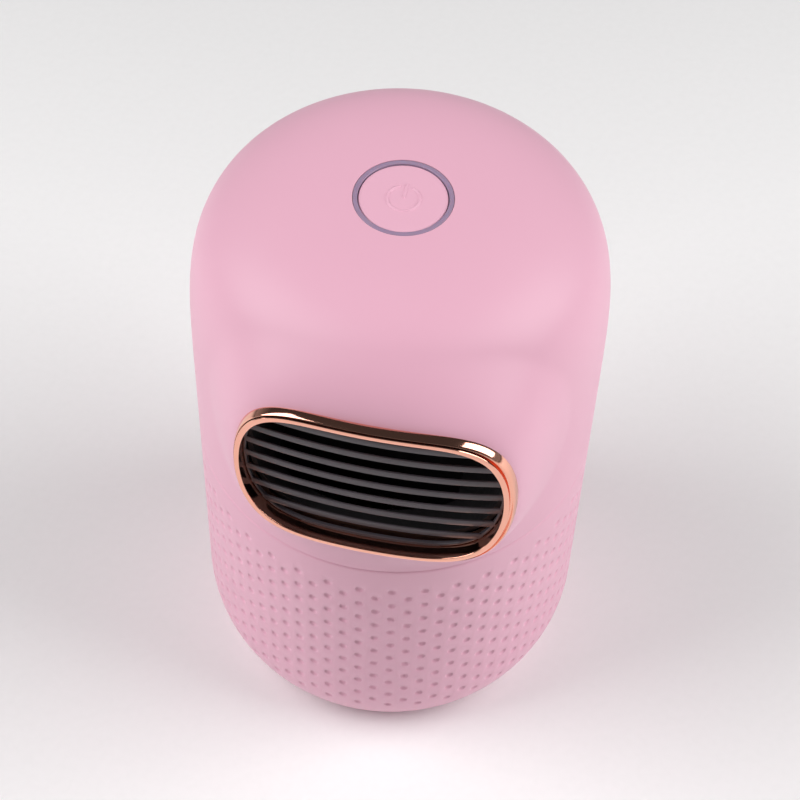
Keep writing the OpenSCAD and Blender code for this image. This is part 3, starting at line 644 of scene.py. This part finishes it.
def upper_shell_piece():
    """The dome with its hood as one thin wall, with its openings cut."""
    across, up, rings = 120, 60, 42
    top_run = np.interp(-hood_top_r, -section_r, section_run)
    end_run = np.interp(-(ring_r + 0.1), -section_r, section_run)
    front_points, front_faces, side_run = hood_patch(across, up, rings, top_run)
    back_turns = np.linspace(math.pi / 2, 3 * math.pi / 2, across + 1)
    all_turns = np.linspace(-math.pi / 2, 3 * math.pi / 2, 2 * across + 1)
    upper_run = top_run + (end_run - top_run) * np.linspace(0, 1, 15)
    points, faces = join_patches([
        (front_points, front_faces), grid_patch(back_turns, side_run),
        grid_patch(all_turns, upper_run)])
    piece = make_piece("upper_shell_skin", points, faces, soft_touch_pink)
    thick = piece.modifiers.new("wall", "SOLIDIFY")
    thick.thickness = wall * mm
    thick.offset = -1
    bake_modifiers(piece, soft_touch_pink)
    slot_tool = loose_mesh("slot_tool", *stadium_bar(slot_half_w, slot_half_h, tool_long))
    slots = run_tree("slots", ring_of_tools_tree(), {
        "Tool": slot_tool, "Count": slot_count, "Step": slot_step, "Middle turn": math.pi / 2,
        "Radius": (body_r - tool_in) * mm, "Height": slot_z * mm}, soft_touch_pink)
    cut(piece, slots)
    bpy.data.objects.remove(slot_tool)
    bar_points, bar_faces = stadium_bar(port_half_h, port_half_w, tool_long)
    port_points = [(z, body_r - tool_in + y, socket_z + x) for x, y, z in bar_points]
    cut(piece, make_piece("port_tool", port_points, bar_faces, soft_touch_pink))
    return piece


upper_shell = upper_shell_piece()
carry(upper_shell, "head", "soft_touch_pink", "upper_shell")

# ---------------------------------------------------------------- Mouth trim
# An ABS ring electroplated in rose gold, pushed into the hood's opening. Its front edge is a narrow
# flat lip. Outside that are a groove and a rounded flank; inside it goes straight back to the grille.


def rose_gold_plating():
    """Electroplated ABS: a mirror with the warm tint of rose gold, a little orange peel from the
    moulding under it and a trace of polishing haze."""
    material, tree = new_material("rose_gold_plated_abs")
    place = add_node(tree, "ShaderNodeTexCoord").outputs["Object"]
    haze = add_node(tree, "ShaderNodeTexNoise", {"Vector": place, "Scale": 1 / (6 * mm), "Detail": 3.0})
    peel = add_node(tree, "ShaderNodeTexNoise", {"Vector": place, "Scale": 1 / (1.5 * mm)})
    tint = add_node(tree, "ShaderNodeMix", {"Factor": haze, "A": linear("#F7B8A2"),
                                            "B": linear("#F1AE97")}, data_type="RGBA")
    rough = add_node(tree, "ShaderNodeMapRange", {"Value": haze, "To Min": 0.07, "To Max": 0.13})
    bump = add_node(tree, "ShaderNodeBump", {"Height": peel, "Strength": 0.05, "Distance": 0.05 * mm})
    shader = add_node(tree, "ShaderNodeBsdfPrincipled", {
        "Base Color": tint.outputs["Result"], "Metallic": 1.0, "Roughness": rough, "Normal": bump})
    add_node(tree, "ShaderNodeOutputMaterial", {"Surface": shader})
    return material


def mouth_ring(name, section, material, steps=320, sharp=50):
    """A closed section led round the mouth. Its points are the growth outside the lip's middle line,
    the share of the way to the rim's outline, and the depth behind the lip."""
    turn = np.arange(steps) * math.tau / steps
    direction = turn - 0.32 * np.sin(2 * turn)    # more points where the outline turns
    rows = []
    for grow, rim, depth in section:
        x, z = mouth_outline(direction, grow, rim)
        rows.append(np.stack([x, bowed_face(x, depth), z], -1))
    count = len(section)
    faces = [[k * steps + i, ((k + 1) % count) * steps + i,
              ((k + 1) % count) * steps + (i + 1) % steps, k * steps + (i + 1) % steps]
             for k in range(count) for i in range(steps)]
    return make_piece(name, np.concatenate(rows), faces, material, sharp)


trim_depth = 6.6
lip_half = 0.75
# the flat lip with its eased edges, the groove outside it, which is wider on the right, the rounded
# flank, and the back
trim_section = [(-lip_half, 0, 0.45), (-0.73, 0, 0.2), (-0.67, 0, 0.05), (-0.56, 0, 0.0), (0.0, 0, 0.0),
                (0.46, 0, 0.0), (0.54, 0, 0.04), (0.56, 0, 0.14), (0.58, 0, 1.1), (0.40, 0.5, 1.1)]
trim_section += [(0.44, 0.5 + 0.5 * math.sin(a), 0.42 + (rim_depth - 0.42) * (1 - math.cos(a)) ** 0.9)
                 for a in np.linspace(0, math.pi / 2, 11)]
trim_section += [(0.7, 0, rim_depth), (0.7, 0, trim_depth), (-lip_half, 0, trim_depth),
                 (-lip_half, 0, 3.0)]
mouth_trim = mouth_ring("mouth_trim_plated", trim_section, rose_gold_plating())
carry(mouth_trim, "head", "rose_gold_plating", "mouth_trim")

# ---------------------------------------------------------------- Grille
# A dark ABS moulding behind the trim: a narrow rim and nine thin flat bars, bowed like the mouth. It
# is pushed into the hood's opening from inside, ahead of the intake duct.
slat_count, slat_pitch, slat_h, slat_t = 9, 5.33, 1.95, 0.45
slat_edge = 0.08                 # the rounding of a bar's edges
slat_drop = 0.4                  # how much lower than the mouth's middle the row sits
grille_depth = 3.65


def plain_finish(name, light, dark, roughness, metallic=0.0, scale=5.0, bump=0.1, spread=0.06,
                 **sockets):
    """A moulded, cast or plated finish with clouding in its colour, as large as the scale in mm, and
    a fine surface grain of 0.4 mm."""
    material, tree = new_material(name)
    place = add_node(tree, "ShaderNodeTexCoord").outputs["Object"]
    cloud = add_node(tree, "ShaderNodeTexNoise", {"Vector": place, "Scale": 1 / (scale * mm), "Detail": 4.0})
    grain = add_node(tree, "ShaderNodeTexNoise", {"Vector": place, "Scale": 1 / (0.4 * mm)})
    tone = add_node(tree, "ShaderNodeMix", {"Factor": cloud, "A": linear(light), "B": linear(dark)},
                    data_type="RGBA")
    rough = add_node(tree, "ShaderNodeMapRange", {
        "Value": cloud, "To Min": roughness - spread, "To Max": roughness + spread})
    relief = add_node(tree, "ShaderNodeBump", {"Height": grain, "Strength": bump, "Distance": 0.05 * mm})
    shader = add_node(tree, "ShaderNodeBsdfPrincipled", {
        "Base Color": tone.outputs["Result"], "Roughness": rough, "Metallic": metallic,
        "Normal": relief, **sockets})
    add_node(tree, "ShaderNodeOutputMaterial", {"Surface": shader})
    return material


def slats_tree():
    """Bars one above the other: each is cut to the opening's width at its height, bowed, and given
    a rounded flat section."""
    tree, put = node_tree("slats", [
        ("Count", "Int"), ("Pitch", "Float"), ("Half width", "Float"), ("Half height", "Float"),
        ("Long sides", "Float"), ("Ends", "Float"), ("Bar height", "Float"), ("Bar depth", "Float"),
        ("Edge radius", "Float"), ("Bow radius", "Float"), ("Middle", "Vector"),
        ("Material", "Material")])
    row = add_node(tree, "GeometryNodeMeshLine", {"Count": put["Count"]}, mode="OFFSET")
    spaces = add_node(tree, "ShaderNodeMath", {0: put["Count"], 1: 1.0}, operation="SUBTRACT")
    half = add_node(tree, "ShaderNodeMath", {0: spaces, 1: 2.0}, operation="DIVIDE")
    index = add_node(tree, "GeometryNodeInputIndex")
    from_middle = add_node(tree, "ShaderNodeMath", {0: index, 1: half}, operation="SUBTRACT")
    up = add_node(tree, "ShaderNodeMath", {0: from_middle, 1: put["Pitch"]}, operation="MULTIPLY")
    lift = add_node(tree, "ShaderNodeCombineXYZ", {"Z": up})
    placed = add_node(tree, "GeometryNodeSetPosition", {"Geometry": row, "Position": lift})
    away = add_node(tree, "ShaderNodeMath", {0: up}, operation="ABSOLUTE")
    share = add_node(tree, "ShaderNodeMath", {0: away, 1: put["Half height"]}, operation="DIVIDE")
    bent = add_node(tree, "ShaderNodeMath", {0: share, 1: put["Ends"]}, operation="POWER")
    left = add_node(tree, "ShaderNodeMath", {0: 1.0, 1: bent}, operation="SUBTRACT")
    root = add_node(tree, "ShaderNodeMath", {0: 1.0, 1: put["Long sides"]}, operation="DIVIDE")
    narrowing = add_node(tree, "ShaderNodeMath", {0: left, 1: root}, operation="POWER")
    width = add_node(tree, "ShaderNodeMath", {0: put["Half width"], 1: narrowing}, operation="MULTIPLY")
    line = add_node(tree, "GeometryNodeCurvePrimitiveLine", {"Start": (-1, 0, 0), "End": (1, 0, 0)})
    points = add_node(tree, "GeometryNodeResampleCurve", {"Curve": line, "Count": 33})
    stretch = add_node(tree, "ShaderNodeCombineXYZ", {"X": width, "Y": 1.0, "Z": 1.0})
    copies = add_node(tree, "GeometryNodeInstanceOnPoints", {
        "Points": placed, "Instance": points, "Scale": stretch})
    real = add_node(tree, "GeometryNodeRealizeInstances", {"Geometry": copies})
    spot = add_node(tree, "ShaderNodeSeparateXYZ", {
        "Vector": add_node(tree, "GeometryNodeInputPosition")}).outputs
    bow_square = add_node(tree, "ShaderNodeMath", {0: put["Bow radius"], 1: put["Bow radius"]},
                          operation="MULTIPLY")
    side_square = add_node(tree, "ShaderNodeMath", {0: spot["X"], 1: spot["X"]}, operation="MULTIPLY")
    rest = add_node(tree, "ShaderNodeMath", {0: bow_square, 1: side_square}, operation="SUBTRACT")
    chord = add_node(tree, "ShaderNodeMath", {0: rest}, operation="SQRT")
    bowed = add_node(tree, "ShaderNodeCombineXYZ", {
        "X": spot["X"], "Z": spot["Z"],
        "Y": add_node(tree, "ShaderNodeMath", {0: chord, 1: -1.0}, operation="MULTIPLY")})
    curved = add_node(tree, "GeometryNodeSetPosition", {
        "Geometry": real, "Position": bowed, "Offset": put["Middle"]})
    section = add_node(tree, "GeometryNodeCurvePrimitiveQuadrilateral", {
        "Width": put["Bar depth"], "Height": put["Bar height"]})
    rounded = add_node(tree, "GeometryNodeFilletCurve", {
        "Curve": section, "Radius": put["Edge radius"], "Count": 2}, mode="POLY")
    upright = add_node(tree, "GeometryNodeSetCurveNormal", {"Curve": curved}, mode="Z_UP")
    bars = add_node(tree, "GeometryNodeCurveToMesh", {
        "Curve": upright, "Profile Curve": rounded, "Fill Caps": True})
    painted = add_node(tree, "GeometryNodeSetMaterial", {"Geometry": bars, "Material": put["Material"]})
    add_node(tree, "NodeGroupOutput", {0: painted})
    return tree


# Dark warm grey ABS: satin, its gloss blurred by the moulding texture
grille_abs = plain_finish("satin_dark_abs", "#51494F", "#484147", 0.47, scale=9.0, bump=0.08,
                          spread=0.05, IOR=1.5)
slats = run_tree("grille_slats", slats_tree(), {
    "Count": slat_count, "Pitch": slat_pitch * mm, "Half width": (mouth_w / 2 - 1.0) * mm,
    "Half height": (mouth_h / 2 - 0.8) * mm, "Long sides": mouth_flat, "Ends": mouth_round,
    "Bar height": slat_h * mm, "Bar depth": slat_t * mm, "Edge radius": slat_edge * mm,
    "Bow radius": (face_r - grille_depth - slat_t / 2) * mm,
    "Middle": Vector((mouth_x, face_r - face_y, mouth_z - slat_drop)) * mm,
    "Material": grille_abs}, grille_abs, sharp=25)
carry(slats, "head", "black_gloss_abs", "grille")
rim_t = 1.0                      # the grille's rim, front to back
rim_section = [(-0.85, 0, grille_depth + 0.1), (-0.95, 0, grille_depth), (-1.35, 0, grille_depth),
               (-1.45, 0, grille_depth + 0.1), (-1.45, 0, grille_depth + rim_t),
               (-0.85, 0, grille_depth + rim_t)]
grille_rim = mouth_ring("grille_rim", rim_section, grille_abs)
carry(grille_rim, "head", "black_gloss_abs")

# ---------------------------------------------------------------- Light ring
# A milky lilac polycarbonate tube, moulded with a flange that holds it from inside. It ends flush
# with the dome and carries the light of the diodes up.


def light_guide():
    """Moulded polycarbonate with diffuser in it: cloudy, satin on its top face."""
    material, tree = new_material("lilac_diffuser_polycarbonate")
    place = add_node(tree, "ShaderNodeTexCoord").outputs["Object"]
    cloud = add_node(tree, "ShaderNodeTexNoise", {"Vector": place, "Scale": 1 / (4 * mm), "Detail": 2.0})
    tone = add_node(tree, "ShaderNodeMix", {"Factor": cloud, "A": linear("#A48CA8"),
                                            "B": linear("#9C85A0")}, data_type="RGBA")
    shader = add_node(tree, "ShaderNodeBsdfPrincipled", {
        "Base Color": tone.outputs["Result"], "Roughness": 0.35, "IOR": 1.58,
        "Subsurface Weight": 0.15, "Subsurface Scale": 0.8 * mm})
    add_node(tree, "ShaderNodeOutputMaterial", {"Surface": shader})
    return material


def eased(corners, steps=3):
    """A closed section from corners (r, z, radius): each corner is rounded to its radius."""
    out = []
    count = len(corners)
    for i, (r, z, radius) in enumerate(corners):
        here = Vector((r, z))
        before = Vector(corners[i - 1][:2]) - here
        after = Vector(corners[(i + 1) % count][:2]) - here
        if radius <= 0:
            out.append((r, z))
            continue
        reach = min(radius, before.length / 2.1, after.length / 2.1)
        start, end = here + before.normalized() * reach, here + after.normalized() * reach
        for t in np.linspace(0, 1, steps + 1):
            p = start * (1 - t) ** 2 + here * 2 * t * (1 - t) + end * t ** 2
            out.append((p.x, p.y))
    return out


def turned_piece(name, corners, material, steps=144, sharp=40):
    """A closed section of corners (r, z, radius) turned about Z."""
    section = eased(corners)
    points, faces = turned_faces(section + section[:1], steps)
    return make_piece(name, points, faces, material, sharp)


ring_low, ring_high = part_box("light_ring")
ring_bottom, ring_top = ring_low.z / mm, ring_high.z / mm
ring_w = 1.1
flange_r = 14.0                  # the flange that holds the ring from inside
flange_low, flange_high = dome_top - 4.4, dome_top - 3.0
light_ring = turned_piece("light_ring_guide", [
    (ring_r - ring_w, ring_bottom, 0.1), (ring_r, ring_bottom, 0.1), (ring_r, flange_low, 0.05),
    (flange_r, flange_low, 0.2), (flange_r, flange_high, 0.2), (ring_r, flange_high, 0.05),
    (ring_r, ring_top, 0.15), (ring_r - ring_w, ring_top, 0.15)], light_guide())
carry(light_ring, "head", "lilac_light_guide", "light_ring")

# ---------------------------------------------------------------- Power button
# A pink ABS cap inside the ring, whose stem presses the switch. The power symbol is moulded on its
# face and stands up by a quarter of a millimetre, with soft edges.
button_low, button_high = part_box("power_button")
symbol_h, symbol_r, symbol_w = 0.25, 3.72, 0.85
cap_top = button_high.z / mm - symbol_h
cap_r = button_high.x / mm
stem_bottom = button_low.z / mm
stem_r = 1.8
cap_t, skirt_h, skirt_t = 2.4, 5.4, 1.2
symbol_gap = 27                  # half the symbol's opening at the top, in degrees
button_pink = soft_touch_abs("button_pink_abs", ("#EEB8CC", "#EBB2C8"))


def bar_on_cap(path, width, height, z, steps=6):
    """A low rounded ridge with round ends along a flat path: rows of points across it."""
    path = np.asarray(path, float)
    along = np.gradient(path, axis=0)
    along /= np.linalg.norm(along, axis=1)[:, None]
    across = np.stack([-along[:, 1], along[:, 0]], 1)
    ends = 5
    rows = []
    for k in range(ends, 0, -1):
        a = math.pi / 2 * k / ends
        rows.append((path[0] - along[0] * width / 2 * math.sin(a), across[0], math.cos(a)))
    rows += [(p, c, 1.0) for p, c in zip(path, across)]
    for k in range(1, ends + 1):
        a = math.pi / 2 * k / ends
        rows.append((path[-1] + along[-1] * width / 2 * math.sin(a), across[-1], math.cos(a)))
    points = []
    for centre, sideways, share in rows:
        for t in np.linspace(-1, 1, steps + 1):
            spot = centre + sideways * t * width / 2 * share
            lift = height * max(0.0, 1 - t * t) ** 0.8 * min(1.0, share * 1.2)
            points.append((spot[0], spot[1], z + lift))
        for t in (1, -1):
            spot = centre + sideways * t * width / 2 * share
            points.append((spot[0], spot[1], z - 0.2))
    n = steps + 3
    faces = [[k * n + i, k * n + (i + 1) % n, (k + 1) * n + (i + 1) % n, (k + 1) * n + i]
             for k in range(len(rows) - 1) for i in range(n)]
    faces += [list(range(n)), [(len(rows) - 1) * n + i for i in range(n)][::-1]]
    return points, faces


def power_button_piece():
    """The cap, its skirt and stem as one turned shape, with the symbol's ridges on it."""
    section = eased([
        (0, stem_bottom, 0), (stem_r, stem_bottom, 0.2), (stem_r, cap_top - cap_t, 0.3),
        (cap_r - skirt_t, cap_top - cap_t, 0.3), (cap_r - skirt_t, cap_top - skirt_h, 0.2),
        (cap_r, cap_top - skirt_h, 0.2), (cap_r, cap_top, 0.35), (0, cap_top + 0.02, 0)])
    section = section[:-1] + [(r, cap_top + 0.02) for r in np.linspace(cap_r - 1, 0, 6)]
    cap = turned_faces(section, 128)
    arc = [(symbol_r * math.sin(a), symbol_r * math.cos(a))
           for a in np.radians(np.linspace(symbol_gap, 360 - symbol_gap, 61))]
    stroke = [(0, y) for y in np.linspace(0.4, 4.1, 6)]
    parts = [cap] + [bar_on_cap(path, symbol_w, symbol_h, cap_top) for path in (arc, stroke)]
    points, faces = join_patches([(np.asarray(p, float), f) for p, f in parts])
    return make_piece("power_button_cap", points, faces, button_pink)


power_button = power_button_piece()
carry(power_button, "power_button", "button_pink", "power_button")

# ---------------------------------------------------------------- Pieces kept as the CAD gives them
# What lies inside the head and the casing, and the foot's plate, pad and screws: moulded, cast,
# plated and cut pieces, each with the finish of its slot in the record.


finishes = {
    # Moulded ABS with an eroded texture: matt, nearly black
    "black_matte_abs": plain_finish("matte_black_abs", "#29272A", "#211F22", 0.6),
    "black_gloss_abs": grille_abs,
    # Moulded polycarbonate tinted grey: smooth, with a clear gloss
    "smoke_polycarbonate": plain_finish("smoke_polycarbonate", "#5C545E", "#524B55", 0.15, bump=0.02),
    # Moulded silicone rubber: dull, without highlights
    "black_silicone": plain_finish("black_silicone", "#262626", "#1D1D1D", 0.7),
    # Pressed fibre: off-white and rough, with fine cloudiness
    "filter_paper": plain_finish("filter_paper", "#EFECE2", "#E4E0D4", 0.9, scale=1.2, bump=0.5),
    # Bright zinc on steel and rolled nickel strip: satin metals, the second a little warmer
    "zinc_steel": plain_finish("zinc_plated_steel", "#C3C6CC", "#AEB2B8", 0.32, 1.0),
    "nickel_strip": plain_finish("nickel_strip", "#CFCBBE", "#BFBBAE", 0.28, 1.0),
    # Shrunk PVC film, solder mask over copper, and extruded PVC: glossy, with an even colour
    "cell_sleeve": plain_finish("shrink_sleeve", "#1F5FA8", "#1B5496", 0.3),
    "circuit_board": plain_finish("green_solder_mask", "#1B5E3A", "#164E30", 0.3, scale=1.5),
    "wire_sheath": plain_finish("red_pvc_sheath", "#B3201C", "#9C1B18", 0.4),
    "lilac_light_guide": light_ring.data.materials[0],
    "rose_gold_plating": mouth_trim.data.materials[0],
    "soft_touch_pink": soft_touch_pink,
    "button_pink": button_pink,
}
for part in frame["record"]["subparts"]:
    kept = frame["nodes"][part["node"]]
    kept.data.materials.clear()
    kept.data.materials.append(finishes[part["material_slot"]])
    kept.data.polygons.foreach_set("material_index", [0] * len(kept.data.polygons))
